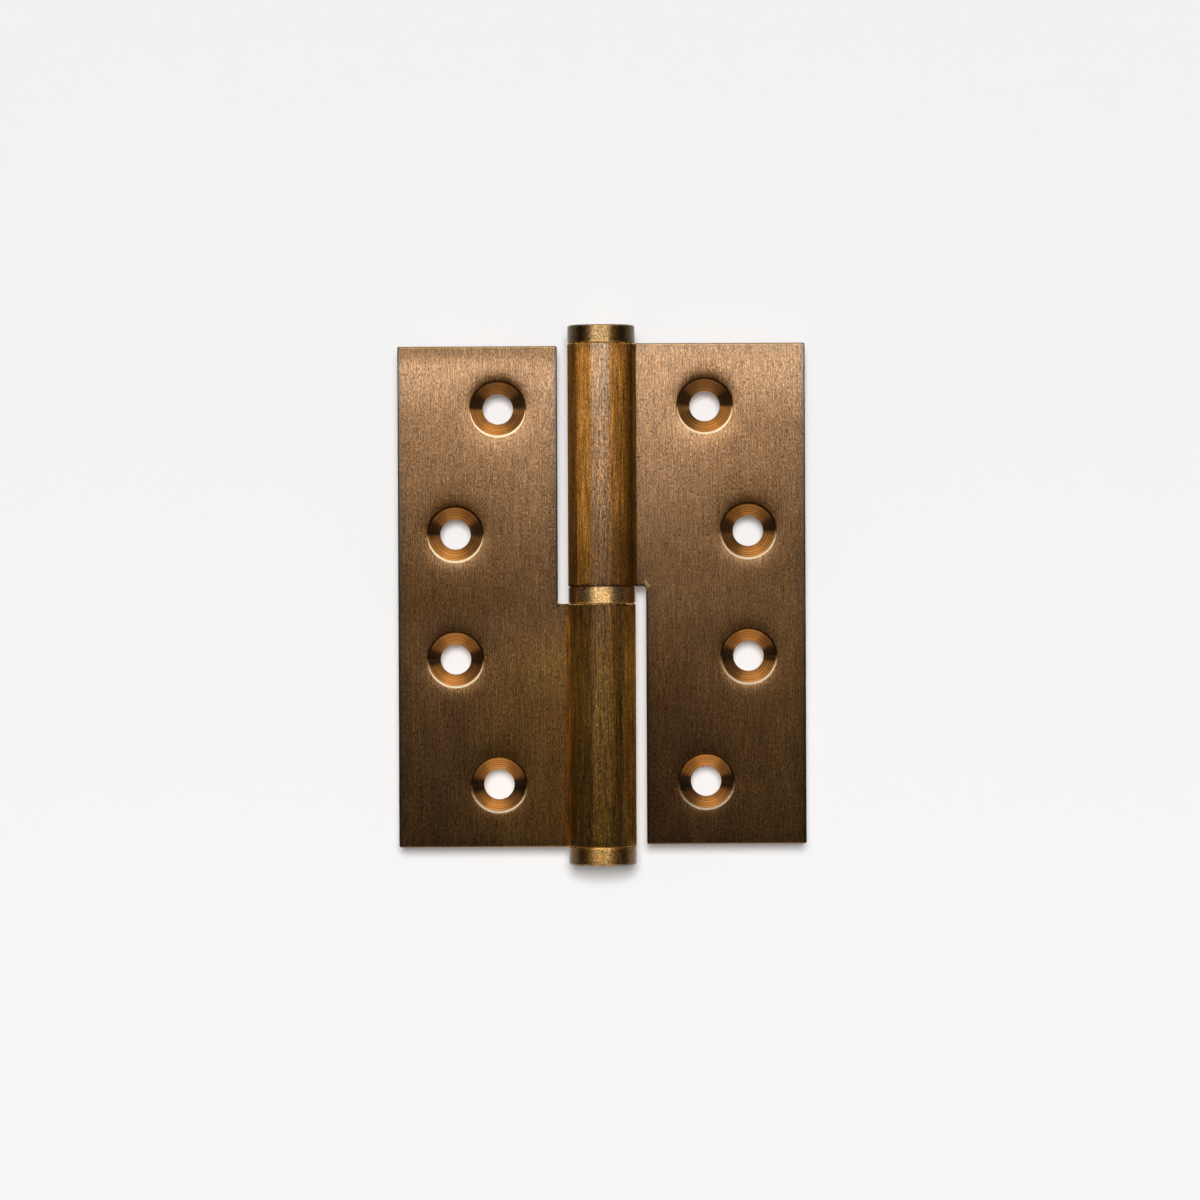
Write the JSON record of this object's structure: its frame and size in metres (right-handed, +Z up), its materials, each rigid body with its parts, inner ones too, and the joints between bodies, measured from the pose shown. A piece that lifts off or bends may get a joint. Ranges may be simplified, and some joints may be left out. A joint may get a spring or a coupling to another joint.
{
  "type": "lift-off hinge",
  "caption": "Flat brass lift-off butt hinge with countersunk leaves, a round barrel, a bearing washer, a fixed pin and plain end caps; the door leaf turns and lifts off the pin.",
  "frame": {"origin": "on the pin axis, halfway up the bearing washer, which is the middle of the hinge", "axes": "+Z up along the pin, the way the door leaf lifts off; the hinge lies open flat with its countersunk faces toward -Y; the frame leaf is on -X and the door leaf on +X"},
  "size_m": [0.083, 0.0136, 0.1098],
  "materials": {
    "bronzed_brass": "brushed antique",
    "turned_brass": "satin antique",
    "steel": "satin"
  },
  "bodies": {
    "frame_side": {"frame_leaf": "bronzed_brass", "hinge_pin": "steel", "bottom_cap": "turned_brass"},
    "washer": {"bearing_washer": "turned_brass"},
    "door_side": {"door_leaf": "bronzed_brass", "top_cap": "turned_brass"}
  },
  "joints": [
    {"name": "swing", "type": "hinge", "parent": "frame_side", "child": "washer", "pos_m": [0, 0, 0], "axis": [0, 0, 1], "range_deg": [-180, 9]},
    {"name": "lift_off", "type": "slide", "parent": "washer", "child": "door_side", "axis": [0, 0, 1], "range_m": [0, 0.04]}
  ]
}
